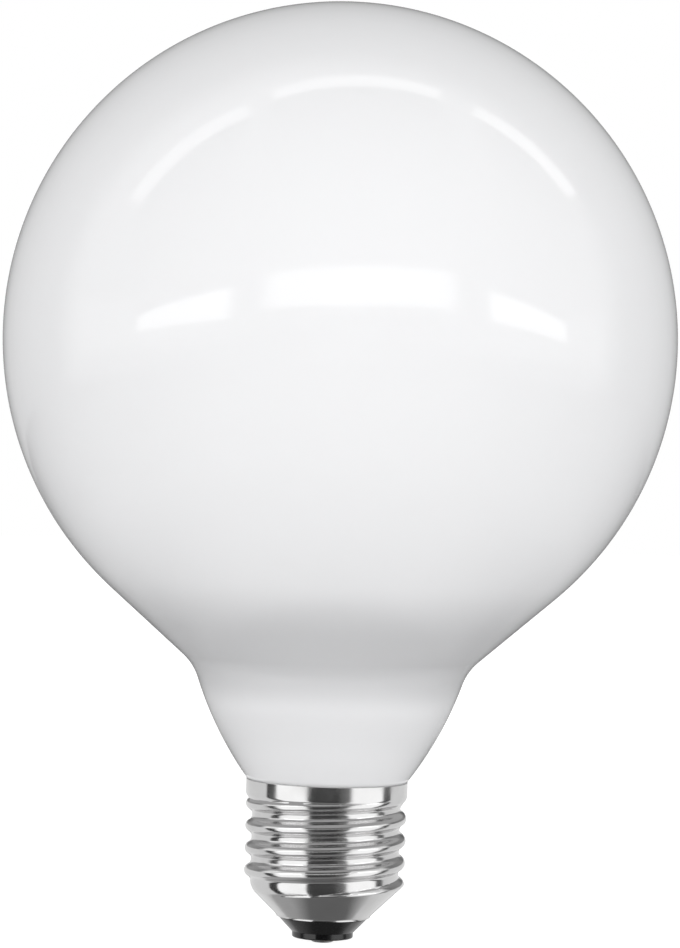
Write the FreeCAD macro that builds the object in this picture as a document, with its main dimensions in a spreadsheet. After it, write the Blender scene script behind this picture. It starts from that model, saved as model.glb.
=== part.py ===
import FreeCAD, Part
import math
import os
import Sketcher

# Opal globe bulb with an E27 screw cap, cap down, axis on Z, contact tip at z = 0.
# Lengths are in millimetres.

doc = FreeCAD.newDocument("globe_bulb")

# Driving sizes, one row each: alias, value, what it is
SIZES = (
    ("globe_diameter", 110.0, "outside of the blown globe"),
    ("throat_diameter", 48.4, "glass at the foot of the straight stretch under the globe"),
    ("throat_angle", 48.8, "straight stretch under the globe, degrees from the axis"),
    ("throat_radius", 8.9, "hollow curve between the straight stretch and the neck"),
    ("neck_height", 20.0, "cap rim to the foot of the straight stretch"),
    ("neck_bow_radius", 58.5, "bow of the tapered neck"),
    ("neck_setback", 0.1, "neck in from the collar at the rim"),
    ("stub_length", 11.0, "glass stub below the rim, inside the cap"),
    ("stub_gap", 0.35, "room for basing cement round the stub"),
    ("stub_end_radius", 3.5, "rounded seal at the end of the stub"),
    ("rim_height", 26.5, "contact tip to the cap rim"),
    ("sheet_thickness", 0.3, "rolled sheet of the cap"),
    ("collar_proud", 0.05, "plain collar under the rim, past the thread crest all round"),
    ("collar_height", 2.5, "plain length of the collar"),
    ("collar_step", 1.7, "slope from the collar down to the thread root"),
    ("collar_rounding", 0.8, "bends of the collar slope, outside"),
    ("thread_crest_diameter", 26.3, "E27 major diameter"),
    ("thread_depth", 1.095, "E27 crest to root, which leaves a 24.11 root"),
    ("thread_pitch", 3.629, "E27 pitch, seven turns to the inch"),
    ("thread_start_height", 9.65, "first crest above the tip, on the +X side"),
    ("thread_run_in", 0.3, "last full crest above the foot of the collar"),
    ("run_out_turns", 0.28, "part of a turn in which each thread end sinks"),
    ("run_out_depth", 0.12, "thread end below the root when it has sunk"),
    ("root_land", 0.04, "plain wall proud of the thread root"),
    ("root_gap", 0.19, "half the wall left between neighbouring turns"),
    ("ridge_bury", 0.5, "ridge section carried on inside the wall"),
    ("shoulder_height", 8.7, "contact tip to the edge of the bottom cone"),
    ("shoulder_radius", 2.6, "rounding of that edge, outside"),
    ("foot_height", 4.2, "contact tip to the lower edge of the sheet"),
    ("lip_diameter", 15.4, "upright lip at the lower edge"),
    ("lip_height", 0.25, "height of the lip"),
    ("lip_radius", 0.5, "bend from lip to cone, outside"),
    ("through_cut", 1.0, "hollow of the cap carried past its two ends"),
    ("trim_reach", 2.0, "cone carried out past the collar to trim the thread start"),
    ("insulator_setback", 0.25, "black glass in from the lip"),
    ("insulator_top_height", 7.0, "contact tip to the top of the black glass"),
    ("moulding_clearance", 0.05, "black glass clear of the sheet inside the cone"),
    ("boss_diameter", 10.0, "round boss under the black cone"),
    ("boss_shoulder_height", 1.8, "contact tip to the top of the boss"),
    ("boss_foot_height", 0.75, "contact tip to the foot of the boss"),
    ("boss_edge_radius", 0.3, "rounding at the foot of the boss"),
    ("cone_foot_diameter", 10.3, "black cone where it meets the boss"),
    ("recess_depth", 0.3, "seat of the contact in the boss"),
    ("contact_clearance", 0.06, "contact clear of the black glass all round"),
    ("contact_diameter", 8.4, "pressed contact plate"),
    ("contact_edge", 0.42, "thickness of the plate at its edge"),
    ("contact_edge_radius", 0.2, "rounding of that edge"),
    ("crown_height", 0.5, "contact tip to the flat crown of the plate"),
    ("crown_diameter", 5.6, "flat crown of the plate"),
    ("crown_rounding", 3.0, "bend from the crown to the plate's slope"),
    ("eyelet_diameter", 2.8, "tube of the contact through the black glass"),
    ("eyelet_bore", 2.0, "hole down the tube for the lead"),
    ("eyelet_stand", 0.35, "tube past the top of the black glass"),
    ("solder_diameter", 3.8, "flattened drop of solder on the crown"),
    ("solder_rounding", 0.4, "rounded edge of the drop"),
    ("solder_rise", 1.6, "solder up the tube from the crown"),
    ("solder_fit", 0.02, "solder clear of the tube wall"),
)

sheet = doc.addObject("Spreadsheet::Sheet", "Sizes")
for row, (alias, value, note) in enumerate(SIZES, start=1):
    sheet.set(f"A{row}", note)
    sheet.set(f"B{row}", str(value))
    sheet.setAlias(f"B{row}", alias)
doc.recompute()

# Sizes that several pieces share, as expressions on the sheet
CREST_R = "(Sizes.thread_crest_diameter / 2)"
ROOT_R = f"({CREST_R} - Sizes.thread_depth)"
COLLAR_R = f"({CREST_R} + Sizes.collar_proud)"
LIP_R = "Sizes.lip_diameter / 2"
BASE_R = f"({ROOT_R} + Sizes.root_land)"
LIP_TOP = "(Sizes.foot_height + Sizes.lip_height)"
COLLAR_FOOT = "(Sizes.rim_height - Sizes.collar_height)"
STEP_FOOT = f"({COLLAR_FOOT} - Sizes.collar_step)"
CONE_SLOPE = f"(({BASE_R} - {LIP_R}) / (Sizes.shoulder_height - {LIP_TOP}))"
STEP_SLOPE = f"(({COLLAR_R} - {BASE_R}) / Sizes.collar_step)"
THREAD_ARC = (
    "((Sizes.thread_pitch * Sizes.thread_pitch / 4 + Sizes.thread_depth * Sizes.thread_depth)"
    " / (4 * Sizes.thread_depth))"
)
THREAD_TURNS = (
    f"(({COLLAR_FOOT} + Sizes.thread_run_in - Sizes.thread_start_height)"
    " / Sizes.thread_pitch)"
)
SEAT_HEIGHT = "(Sizes.boss_foot_height + Sizes.recess_depth)"
BORE_R = "(Sizes.eyelet_diameter / 2 + Sizes.contact_clearance)"
EYELET_TOP = "(Sizes.insulator_top_height + Sizes.eyelet_stand)"
SOLDER_STEM_R = "(Sizes.eyelet_bore / 2 - Sizes.solder_fit)"


def number(expression):
    """Value of an expression on the sheet."""
    return float(sheet.evalExpression(expression))


def corner_lift(inset, slope):
    """Rise of a bend where an upright wall and a sloping one both move in by inset."""
    return f"{inset} * (sqrt(1 + {slope} * {slope}) - 1) / {slope}"


def new_body(label):
    """Empty body with its own origin."""
    body = doc.addObject("PartDesign::Body", label)
    body.Label = label
    return body


def origin_item(body, role):
    """Plane or axis of the body's own origin."""
    for item in body.Origin.OriginFeatures:
        if item.Role == role:
            return item
    raise ValueError(role)


def new_sketch(body, name):
    """Sketch on the body's XZ plane: sketch x is the radius, sketch y the height."""
    sketch = body.newObject("Sketcher::SketchObject", name)
    sketch.AttachmentSupport = [(origin_item(body, "XZ_Plane"), "")]
    sketch.MapMode = "FlatFace"
    return sketch


def bind(sketch, constraint, expression):
    """Add a dimension and bind it to an expression."""
    index = sketch.addConstraint(constraint)
    sketch.setExpression(f"Constraints[{index}]", expression)


def place_x(sketch, geometry, point, expression):
    """Hold a point at a radius, on the axis when the radius is zero."""
    if expression == "0":
        sketch.addConstraint(Sketcher.Constraint("PointOnObject", geometry, point, -2))
        return
    size = number(expression)
    bind(sketch, Sketcher.Constraint("DistanceX", -1, 1, geometry, point, size), expression)


def place_y(sketch, geometry, point, expression):
    """Hold a point at a height, on the base line when the height is zero."""
    if expression == "0":
        sketch.addConstraint(Sketcher.Constraint("PointOnObject", geometry, point, -1))
        return
    size = number(expression)
    bind(sketch, Sketcher.Constraint("DistanceY", -1, 1, geometry, point, size), expression)


def arc(centre, radius, start, end):
    """Circular arc from the start direction round to the end direction, in radians."""
    circle = Part.Circle(centre, FreeCAD.Vector(0, 0, 1), radius)
    return Part.ArcOfCircle(circle, start, end)


def heading(centre, point):
    """Direction from a centre to a point, in radians."""
    return math.atan2(point.y - centre.y, point.x - centre.x)


def outline(sketch, corners):
    """Closed outline through corners given as (radius, height, rounding or None)."""
    spots = [FreeCAD.Vector(number(r), number(z), 0) for r, z, _ in corners]
    count = len(corners)
    arrive = list(spots)
    leave = list(spots)
    bends = {}
    for i, (_, _, rounding) in enumerate(corners):
        if rounding is None:
            continue
        back = (spots[i - 1] - spots[i]).normalize()
        ahead = (spots[(i + 1) % count] - spots[i]).normalize()
        radius = number(rounding)
        half = math.acos(back.dot(ahead)) / 2
        arrive[i] = spots[i] + back * (radius / math.tan(half))
        leave[i] = spots[i] + ahead * (radius / math.tan(half))
        centre = spots[i] + (back + ahead).normalize() * (radius / math.sin(half))
        left_turn = ahead.x * back.y - ahead.y * back.x > 0
        first, last = (arrive[i], leave[i]) if left_turn else (leave[i], arrive[i])
        curve = arc(centre, radius, heading(centre, first), heading(centre, last))
        bends[i] = (curve, left_turn, rounding)
    lines = []
    for i in range(count):
        lines.append(sketch.addGeometry(Part.LineSegment(leave[i], arrive[(i + 1) % count])))
    for i, (r, z, _) in enumerate(corners):
        into, out = lines[i - 1], lines[i]
        if i not in bends:
            sketch.addConstraint(Sketcher.Constraint("Coincident", into, 2, out, 1))
            place_x(sketch, out, 1, r)
            place_y(sketch, out, 1, z)
            continue
        curve, left_turn, rounding = bends[i]
        bend = sketch.addGeometry(curve)
        spot = sketch.addGeometry(Part.Point(spots[i]), True)
        place_x(sketch, spot, 1, r)
        place_y(sketch, spot, 1, z)
        near, far = (1, 2) if left_turn else (2, 1)
        sketch.addConstraint(Sketcher.Constraint("Tangent", into, 2, bend, near))
        sketch.addConstraint(Sketcher.Constraint("Tangent", out, 1, bend, far))
        sketch.addConstraint(Sketcher.Constraint("PointOnObject", spot, 1, into))
        sketch.addConstraint(Sketcher.Constraint("PointOnObject", spot, 1, out))
        bind(sketch, Sketcher.Constraint("Radius", bend, curve.Radius), rounding)


def revolve(body, sketch, name):
    """Full turn of the sketch about the body's axis."""
    turned = body.newObject("PartDesign::Revolution", name)
    turned.Profile = sketch
    turned.ReferenceAxis = (sketch, ["V_Axis"])
    turned.Angle = 360
    return turned


def turned_body(label, corners):
    """Body turned from one outline."""
    body = new_body(label)
    sketch = new_sketch(body, f"{label}_section")
    outline(sketch, corners)
    doc.recompute()
    revolve(body, sketch, f"{label}_turned")
    return body


def ridge_section(sketch, inset, height):
    """Round-thread ridge: crest arc, two hollow arcs, and a root inside the wall."""
    crest_x = f"{CREST_R} - {THREAD_ARC}"
    hollow_x = f"{ROOT_R} + {THREAD_ARC}"
    crest_r = f"{THREAD_ARC} - {inset}"
    inner_x = f"{BASE_R} - {inset} - Sizes.ridge_bury"
    crest = FreeCAD.Vector(number(crest_x), number(height), 0)
    half_pitch = number("Sizes.thread_pitch / 2")
    gap = number("Sizes.root_gap")
    hollow_r = number(f"{THREAD_ARC} + {inset}")
    reach = math.sqrt(hollow_r * hollow_r - gap * gap)
    meets = []
    ends = []
    hollows = []
    for side in (-1, 1):
        hollow = FreeCAD.Vector(number(hollow_x), crest.y + side * half_pitch, 0)
        hollows.append(hollow)
        meets.append(crest + (hollow - crest).normalize() * number(crest_r))
        ends.append(FreeCAD.Vector(hollow.x - reach, hollow.y - side * gap, 0))
    inner = [FreeCAD.Vector(number(inner_x), end.y, 0) for end in ends]
    top = sketch.addGeometry(
        arc(crest, number(crest_r), heading(crest, meets[0]), heading(crest, meets[1]))
    )
    place_x(sketch, top, 3, crest_x)
    place_y(sketch, top, 3, height)
    bind(sketch, Sketcher.Constraint("Radius", top, number(crest_r)), crest_r)
    low = sketch.addGeometry(
        arc(hollows[0], hollow_r, heading(hollows[0], meets[0]), heading(hollows[0], ends[0]))
    )
    high = sketch.addGeometry(
        arc(hollows[1], hollow_r, heading(hollows[1], ends[1]), heading(hollows[1], meets[1]))
    )
    place_x(sketch, low, 3, hollow_x)
    place_y(sketch, low, 3, f"{height} - Sizes.thread_pitch / 2")
    place_x(sketch, high, 3, hollow_x)
    place_y(sketch, high, 3, f"{height} + Sizes.thread_pitch / 2")
    sketch.addConstraint(Sketcher.Constraint("Tangent", top, 1, low, 1))
    sketch.addConstraint(Sketcher.Constraint("Tangent", top, 2, high, 2))
    place_y(sketch, low, 2, f"{height} - Sizes.thread_pitch / 2 + Sizes.root_gap")
    place_y(sketch, high, 1, f"{height} + Sizes.thread_pitch / 2 - Sizes.root_gap")
    under = sketch.addGeometry(Part.LineSegment(ends[0], inner[0]))
    back = sketch.addGeometry(Part.LineSegment(inner[0], inner[1]))
    over = sketch.addGeometry(Part.LineSegment(inner[1], ends[1]))
    sketch.addConstraint(Sketcher.Constraint("Coincident", low, 2, under, 1))
    sketch.addConstraint(Sketcher.Constraint("Coincident", under, 2, back, 1))
    sketch.addConstraint(Sketcher.Constraint("Coincident", back, 2, over, 1))
    sketch.addConstraint(Sketcher.Constraint("Coincident", over, 2, high, 1))
    sketch.addConstraint(Sketcher.Constraint("Horizontal", under))
    sketch.addConstraint(Sketcher.Constraint("Horizontal", over))
    sketch.addConstraint(Sketcher.Constraint("Vertical", back))
    place_x(sketch, back, 1, inner_x)


def helix(body, sketch, name, turns, sink, downward):
    """Right-hand ridge swept from the sketch, sinking by an angle when sink is given."""
    ridge = body.newObject("PartDesign::AdditiveHelix", name)
    ridge.Profile = sketch
    ridge.ReferenceAxis = (origin_item(body, "Z_Axis"), [""])
    ridge.Mode = "pitch-turns-angle"
    ridge.setExpression("Pitch", "Sizes.thread_pitch * 1 mm")
    ridge.setExpression("Turns", turns)
    ridge.LeftHanded = False
    ridge.Refine = False
    ridge.Reversed = downward
    if sink:
        ridge.setExpression("Angle", sink)
    else:
        ridge.Angle = 0
    return ridge


def trim_start(body, label, inset, cone_lift):
    """Take off what the first turn leaves below the line of the bottom cone."""
    middle_r = f"({LIP_R} + {BASE_R}) / 2 - {inset}"
    middle_z = f"({LIP_TOP} + Sizes.shoulder_height) / 2 + {cone_lift}"
    outer_r = f"{COLLAR_R} + Sizes.trim_reach - {inset}"
    outer_z = (
        f"Sizes.shoulder_height + {cone_lift}"
        f" + ({COLLAR_R} + Sizes.trim_reach - {BASE_R}) / {CONE_SLOPE}"
    )
    sketch = new_sketch(body, f"{label}_trim")
    outline(
        sketch,
        ((middle_r, middle_z, None), (outer_r, middle_z, None), (outer_r, outer_z, None)),
    )
    doc.recompute()
    trim = body.newObject("PartDesign::Groove", f"{label}_trimmed")
    trim.Profile = sketch
    trim.ReferenceAxis = (sketch, ["V_Axis"])
    trim.Angle = 360
    trim.Refine = False


def thread_form(label, inset, bottom, top):
    """Solid form of the cap, moved in by inset: the sheet lies between two of them."""
    cone_lift = corner_lift(inset, CONE_SLOPE)
    step_lift = corner_lift(inset, STEP_SLOPE)
    body = turned_body(
        label,
        (
            ("0", bottom, None),
            (f"{LIP_R} - {inset}", bottom, None),
            (f"{LIP_R} - {inset}", f"{LIP_TOP} + {cone_lift}", f"Sizes.lip_radius + {inset}"),
            (
                f"{BASE_R} - {inset}",
                f"Sizes.shoulder_height + {cone_lift}",
                f"Sizes.shoulder_radius - {inset}",
            ),
            (
                f"{BASE_R} - {inset}",
                f"{STEP_FOOT} + {step_lift}",
                f"Sizes.collar_rounding + {inset}",
            ),
            (
                f"{COLLAR_R} - {inset}",
                f"{COLLAR_FOOT} + {step_lift}",
                f"Sizes.collar_rounding - {inset}",
            ),
            (f"{COLLAR_R} - {inset}", top, None),
            ("0", top, None),
        ),
    )
    sink = (
        "-atan((Sizes.thread_depth + Sizes.run_out_depth)"
        " / (Sizes.thread_pitch * Sizes.run_out_turns))"
    )
    start = new_sketch(body, f"{label}_ridge")
    ridge_section(start, inset, "Sizes.thread_start_height")
    last = new_sketch(body, f"{label}_ridge_end")
    last.AttachmentOffset = FreeCAD.Placement(
        FreeCAD.Vector(0, 0, 0), FreeCAD.Rotation(FreeCAD.Vector(0, 1, 0), 0)
    )
    last.setExpression("AttachmentOffset.Rotation.Angle", f"360 deg * {THREAD_TURNS}")
    ridge_section(last, inset, f"({COLLAR_FOOT} + Sizes.thread_run_in)")
    doc.recompute()
    helix(body, start, f"{label}_thread", THREAD_TURNS, None, False)
    helix(body, start, f"{label}_run_in", "Sizes.run_out_turns", sink, True)
    helix(body, last, f"{label}_run_out", "Sizes.run_out_turns", sink, False)
    trim_start(body, label, inset, cone_lift)
    doc.recompute()
    return body


# Blown globe, throat and neck, with the stub that the cap is cemented to
globe = new_body("opal_globe")
section = new_sketch(globe, "opal_globe_section")
throat_x = "Sizes.throat_diameter / 2"
throat_z = "Sizes.rim_height + Sizes.neck_height"
rim_r = f"{COLLAR_R} - Sizes.neck_setback"
stub_r = f"{BASE_R} - Sizes.sheet_thickness - Sizes.stub_gap"
stub_z = "Sizes.rim_height - Sizes.stub_length"
ball_r = number("Sizes.globe_diameter / 2")
tilt = math.radians(number("Sizes.throat_angle"))
along = FreeCAD.Vector(math.sin(tilt), math.cos(tilt), 0)
outward = FreeCAD.Vector(math.cos(tilt), -math.sin(tilt), 0)
throat = FreeCAD.Vector(number(throat_x), number(throat_z), 0)
ball_c = FreeCAD.Vector(0, throat.y + (ball_r - throat.x * outward.x) / along.x, 0)
crown = ball_c + FreeCAD.Vector(0, ball_r, 0)
leaving = ball_c + outward * ball_r
throat_r = number("Sizes.throat_radius")
throat_c = throat + outward * throat_r
bow_r = number("Sizes.neck_bow_radius")
rim = FreeCAD.Vector(number(rim_r), number("Sizes.rim_height"), 0)
span = throat_c - rim
run = (bow_r**2 - (bow_r + throat_r) ** 2 + span.Length**2) / (2 * span.Length)
rise = math.sqrt(bow_r**2 - run**2)
across = FreeCAD.Vector(-span.y, span.x, 0).normalize()
bow_c = rim + FreeCAD.Vector(span).normalize() * run + across * rise
joint = bow_c + (throat_c - bow_c).normalize() * bow_r
stub_top = FreeCAD.Vector(number(stub_r), rim.y, 0)
end_r = number("Sizes.stub_end_radius")
stub_bottom = number(stub_z)
end_c = FreeCAD.Vector(stub_top.x - end_r, stub_bottom + end_r, 0)
seal = FreeCAD.Vector(0, stub_bottom, 0)
seal_edge = FreeCAD.Vector(end_c.x, stub_bottom, 0)
stub_edge = FreeCAD.Vector(stub_top.x, end_c.y, 0)

ball = section.addGeometry(arc(ball_c, ball_r, heading(ball_c, leaving), math.pi / 2))
slant = section.addGeometry(Part.LineSegment(throat, leaving))
hollow = section.addGeometry(
    arc(throat_c, throat_r, heading(throat_c, throat), heading(throat_c, joint))
)
bow = section.addGeometry(arc(bow_c, bow_r, heading(bow_c, rim), heading(bow_c, joint)))
ledge = section.addGeometry(Part.LineSegment(rim, stub_top))
stub = section.addGeometry(Part.LineSegment(stub_top, stub_edge))
stub_end = section.addGeometry(arc(end_c, end_r, -math.pi / 2, 0))
floor = section.addGeometry(Part.LineSegment(seal_edge, seal))
axis = section.addGeometry(Part.LineSegment(seal, crown))

place_x(section, ball, 3, "0")
bind(section, Sketcher.Constraint("Radius", ball, ball_r), "Sizes.globe_diameter / 2")
place_x(section, ball, 2, "0")
section.addConstraint(Sketcher.Constraint("Tangent", ball, 1, slant, 2))
bind(
    section,
    Sketcher.Constraint("Angle", slant, math.pi / 2 - tilt),
    "(90 - Sizes.throat_angle) * 1 deg",
)
place_x(section, slant, 1, throat_x)
place_y(section, slant, 1, throat_z)
section.addConstraint(Sketcher.Constraint("Tangent", slant, 1, hollow, 1))
bind(section, Sketcher.Constraint("Radius", hollow, throat_r), "Sizes.throat_radius")
section.addConstraint(Sketcher.Constraint("Tangent", hollow, 2, bow, 2))
bind(section, Sketcher.Constraint("Radius", bow, bow_r), "Sizes.neck_bow_radius")
place_x(section, bow, 1, rim_r)
place_y(section, bow, 1, "Sizes.rim_height")
section.addConstraint(Sketcher.Constraint("Coincident", bow, 1, ledge, 1))
section.addConstraint(Sketcher.Constraint("Horizontal", ledge))
section.addConstraint(Sketcher.Constraint("Coincident", ledge, 2, stub, 1))
place_x(section, stub, 1, stub_r)
section.addConstraint(Sketcher.Constraint("Vertical", stub))
section.addConstraint(Sketcher.Constraint("Tangent", stub, 2, stub_end, 2))
bind(section, Sketcher.Constraint("Radius", stub_end, end_r), "Sizes.stub_end_radius")
section.addConstraint(Sketcher.Constraint("Tangent", stub_end, 1, floor, 1))
section.addConstraint(Sketcher.Constraint("Horizontal", floor))
place_y(section, floor, 2, stub_z)
place_x(section, floor, 2, "0")
section.addConstraint(Sketcher.Constraint("Coincident", floor, 2, axis, 1))
section.addConstraint(Sketcher.Constraint("Coincident", axis, 2, ball, 2))
doc.recompute()
revolve(globe, section, "opal_globe_turned")

# Rolled screw cap: the outside form less the same form one sheet thickness in
outside = thread_form("cap_outside", "0", "Sizes.foot_height", "Sizes.rim_height")
inside = thread_form(
    "cap_inside",
    "Sizes.sheet_thickness",
    "Sizes.foot_height - Sizes.through_cut",
    "Sizes.rim_height + Sizes.through_cut",
)
shell = doc.addObject("Part::Cut", "screw_shell")
shell.Label = "screw_shell"
shell.Base = outside
shell.Tool = inside

# Black glass: a flange moulded inside the cone, the outer cone, and the boss
wall_in = "(Sizes.sheet_thickness + Sizes.moulding_clearance)"
cone_reach = f"{wall_in} * sqrt(1 + {CONE_SLOPE} * {CONE_SLOPE})"
insulator = turned_body(
    "insulator",
    (
        (BORE_R, SEAT_HEIGHT, None),
        ("Sizes.contact_diameter / 2 + Sizes.contact_clearance", SEAT_HEIGHT, None),
        (
            "Sizes.contact_diameter / 2 + Sizes.contact_clearance",
            "Sizes.boss_foot_height",
            None,
        ),
        ("Sizes.boss_diameter / 2", "Sizes.boss_foot_height", "Sizes.boss_edge_radius"),
        ("Sizes.boss_diameter / 2", "Sizes.boss_shoulder_height", None),
        ("Sizes.cone_foot_diameter / 2", "Sizes.boss_shoulder_height", None),
        (f"{LIP_R} - Sizes.insulator_setback", "Sizes.foot_height", None),
        (f"{LIP_R} - {wall_in}", "Sizes.foot_height", None),
        (
            f"{LIP_R} - {wall_in}",
            f"{LIP_TOP} + {corner_lift(wall_in, CONE_SLOPE)}",
            None,
        ),
        (
            f"{LIP_R} + {CONE_SLOPE} * (Sizes.insulator_top_height - {LIP_TOP}) - {cone_reach}",
            "Sizes.insulator_top_height",
            None,
        ),
        (BORE_R, "Sizes.insulator_top_height", None),
    ),
)

# Pressed contact plate with the tube that holds it in the black glass
contact = turned_body(
    "centre_contact",
    (
        ("Sizes.eyelet_bore / 2", "Sizes.crown_height", None),
        ("Sizes.crown_diameter / 2", "Sizes.crown_height", "Sizes.crown_rounding"),
        (
            "Sizes.contact_diameter / 2",
            f"{SEAT_HEIGHT} - Sizes.contact_edge",
            "Sizes.contact_edge_radius",
        ),
        ("Sizes.contact_diameter / 2", SEAT_HEIGHT, None),
        ("Sizes.eyelet_diameter / 2", SEAT_HEIGHT, None),
        ("Sizes.eyelet_diameter / 2", EYELET_TOP, None),
        ("Sizes.eyelet_bore / 2", EYELET_TOP, None),
    ),
)

# Solder that closes the tube and stands proud as the contact tip
solder = turned_body(
    "contact_solder",
    (
        ("0", "0", None),
        ("Sizes.solder_diameter / 2", "0", "Sizes.solder_rounding"),
        ("Sizes.solder_diameter / 2", "Sizes.crown_height", None),
        (SOLDER_STEM_R, "Sizes.crown_height", None),
        (SOLDER_STEM_R, "Sizes.crown_height + Sizes.solder_rise", None),
        ("0", "Sizes.crown_height + Sizes.solder_rise", None),
    ),
)

doc.recompute()

# Every object has to be sound before a piece is written
for item in doc.Objects:
    if "Invalid" in item.State or "Error" in item.State:
        raise RuntimeError(f"{item.Name}: {item.State}")

os.makedirs("parts", exist_ok=True)
for piece in (globe, shell, insulator, contact, solder):
    shape = piece.Shape
    if shape.isNull() or not shape.isValid():
        raise RuntimeError(f"{piece.Label}: no sound shape")
    if len(shape.Solids) != 1:
        raise RuntimeError(f"{piece.Label}: {len(shape.Solids)} solids")
    shape.exportStep(f"parts/{piece.Label}.step")
    box = shape.BoundBox
    print(
        piece.Label,
        round(shape.Volume, 1),
        [round(v, 2) for v in (box.XMin, box.XMax, box.YMin, box.YMax, box.ZMin, box.ZMax)],
        len(shape.Faces),
    )
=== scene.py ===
import logging
import math
from dataclasses import dataclass
from enum import Enum
from typing import Protocol

import bpy
import numpy as np
from mathutils import Matrix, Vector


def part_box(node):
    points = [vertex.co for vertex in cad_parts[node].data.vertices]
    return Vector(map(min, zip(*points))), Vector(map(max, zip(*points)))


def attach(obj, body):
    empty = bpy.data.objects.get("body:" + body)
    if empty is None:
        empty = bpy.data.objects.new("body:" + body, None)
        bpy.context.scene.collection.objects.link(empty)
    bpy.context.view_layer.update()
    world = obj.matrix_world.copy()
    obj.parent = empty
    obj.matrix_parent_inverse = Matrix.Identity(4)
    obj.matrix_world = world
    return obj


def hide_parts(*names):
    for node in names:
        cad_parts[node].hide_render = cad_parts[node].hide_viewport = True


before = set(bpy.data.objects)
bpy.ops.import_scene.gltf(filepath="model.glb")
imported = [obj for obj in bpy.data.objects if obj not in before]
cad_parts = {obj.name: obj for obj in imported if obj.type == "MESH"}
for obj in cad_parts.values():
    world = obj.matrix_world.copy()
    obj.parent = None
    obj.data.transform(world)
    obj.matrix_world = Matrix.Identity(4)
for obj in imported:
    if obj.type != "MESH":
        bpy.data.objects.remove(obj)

# Opal globe bulb with an E27 screw cap: five pieces over the five CAD nodes, and a small studio.
# Lengths are in millimetres unless a name says otherwise; MM turns them into the frame's metres.

MM = 0.001
BODY = "root"
PHOTO_WIDTH = 680
PHOTO_HEIGHT = 948
LOG = logging.getLogger("globe_bulb")

Rgb = tuple[float, float, float]
Point = tuple[float, float, float]
Span = tuple[float, float]
Table = tuple[Span, ...]

RISE: Span = (0.0, 1.0)
FALL: Span = (1.0, 0.0)
# Range that most values of a noise pattern lie in
NOISE_RANGE: Span = (0.3, 0.7)


class Seen(Enum):
    """Which rays meet a stage object."""

    LAMP = "lights the object and shows in its gloss"
    CARD = "shows in the gloss alone"
    FLOOR = "everything but gloss"


class Back(Enum):
    """What the back of a stage surface is."""

    SAME = "as bright as its front"
    DARK = "a dark card"
    CLEAR = "not there"


@dataclass(frozen=True)
class Corner:
    """Corner of a turned section: radius, height and rounding."""

    radius: float
    height: float
    rounding: float = 0.0


def grey(level: float) -> tuple[float, float, float, float]:
    """Solid grey of a level."""
    return level, level, level, 1.0


def read(table: Table, place: np.ndarray) -> np.ndarray:
    """Values of a table at places, on straight lines between its rows."""
    at, value = np.array(table).T
    return np.interp(place, at, value)


def smooth(share: np.ndarray) -> np.ndarray:
    """Smooth step of a share: three times its square less twice its cube."""
    return share * share * (3.0 - 2.0 * share)


def unit(vector: np.ndarray) -> np.ndarray:
    """Vector scaled to a length of one."""
    return vector / np.linalg.norm(vector)


def arc_points(centre: np.ndarray, start: np.ndarray, end: np.ndarray, count: int) -> np.ndarray:
    """Points on the shorter circular arc about a centre: the start's direction swept to the end's.

    Args:
        centre: centre of the arc, as radius and height.
        start: first point.
        end: last point.
        count: how many points.

    Returns:
        Array of count points.
    """
    first = math.atan2(start[1] - centre[1], start[0] - centre[0])
    last = math.atan2(end[1] - centre[1], end[0] - centre[0])
    sweep = (last - first + math.pi) % (2 * math.pi) - math.pi
    angles = first + sweep * np.linspace(0.0, 1.0, count)
    reach = np.linalg.norm(start - centre)
    return centre + reach * np.column_stack((np.cos(angles), np.sin(angles)))


def rounded(corners: list[Corner], closed: bool, bend_points: int = 9) -> np.ndarray:
    """Section line through corners, each rounded corner replaced by the arc tangent to both sides.

    Args:
        corners: corners in order.
        closed: whether the last corner joins the first.
        bend_points: points on each arc.

    Returns:
        Array of points, as radius and height.
    """
    spots = np.array([(c.radius, c.height) for c in corners])
    count = len(corners)
    runs = []
    for i, corner in enumerate(corners):
        inner = closed or 0 < i < count - 1
        if corner.rounding == 0.0 or not inner:
            runs.append(spots[i:i + 1])
            continue
        back = unit(spots[i - 1] - spots[i])
        ahead = unit(spots[(i + 1) % count] - spots[i])
        half = math.acos(float(back @ ahead)) / 2
        centre = spots[i] + unit(back + ahead) * corner.rounding / math.sin(half)
        reach = corner.rounding / math.tan(half)
        runs.append(arc_points(centre, spots[i] + back * reach, spots[i] + ahead * reach, bend_points))
    return np.concatenate(runs)


def spread(line: np.ndarray, longest: float) -> np.ndarray:
    """Section line with its straight runs divided, so that no step is longer than a length.

    Args:
        line: points, as radius and height.
        longest: longest step allowed.

    Returns:
        The points with the added ones between them.
    """
    steps = np.maximum(1, np.ceil(np.linalg.norm(np.diff(line, axis=0), axis=1) / longest).astype(int))
    place = np.concatenate([i + np.arange(n) / n for i, n in enumerate(steps)] + [[len(line) - 1.0]])
    index = np.arange(len(line))
    return np.column_stack((np.interp(place, index, line[:, 0]), np.interp(place, index, line[:, 1])))


def outward(points: np.ndarray, faces: list[np.ndarray]) -> list[np.ndarray]:
    """Faces turned so that the closed surface encloses a positive volume.

    The volume is the sum of the signed tetrahedra from the origin to each fan triangle of a face.

    Args:
        points: vertices.
        faces: arrays of vertex numbers, one array for each number of sides.

    Returns:
        The arrays, reversed if the volume was negative.
    """
    volume = 0.0
    for block in faces:
        for k in range(1, block.shape[1] - 1):
            a, b, c = points[block[:, 0]], points[block[:, k]], points[block[:, k + 1]]
            volume += float(np.sum(a * np.cross(b, c)))
    return faces if volume > 0 else [block[:, ::-1] for block in faces]


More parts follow.
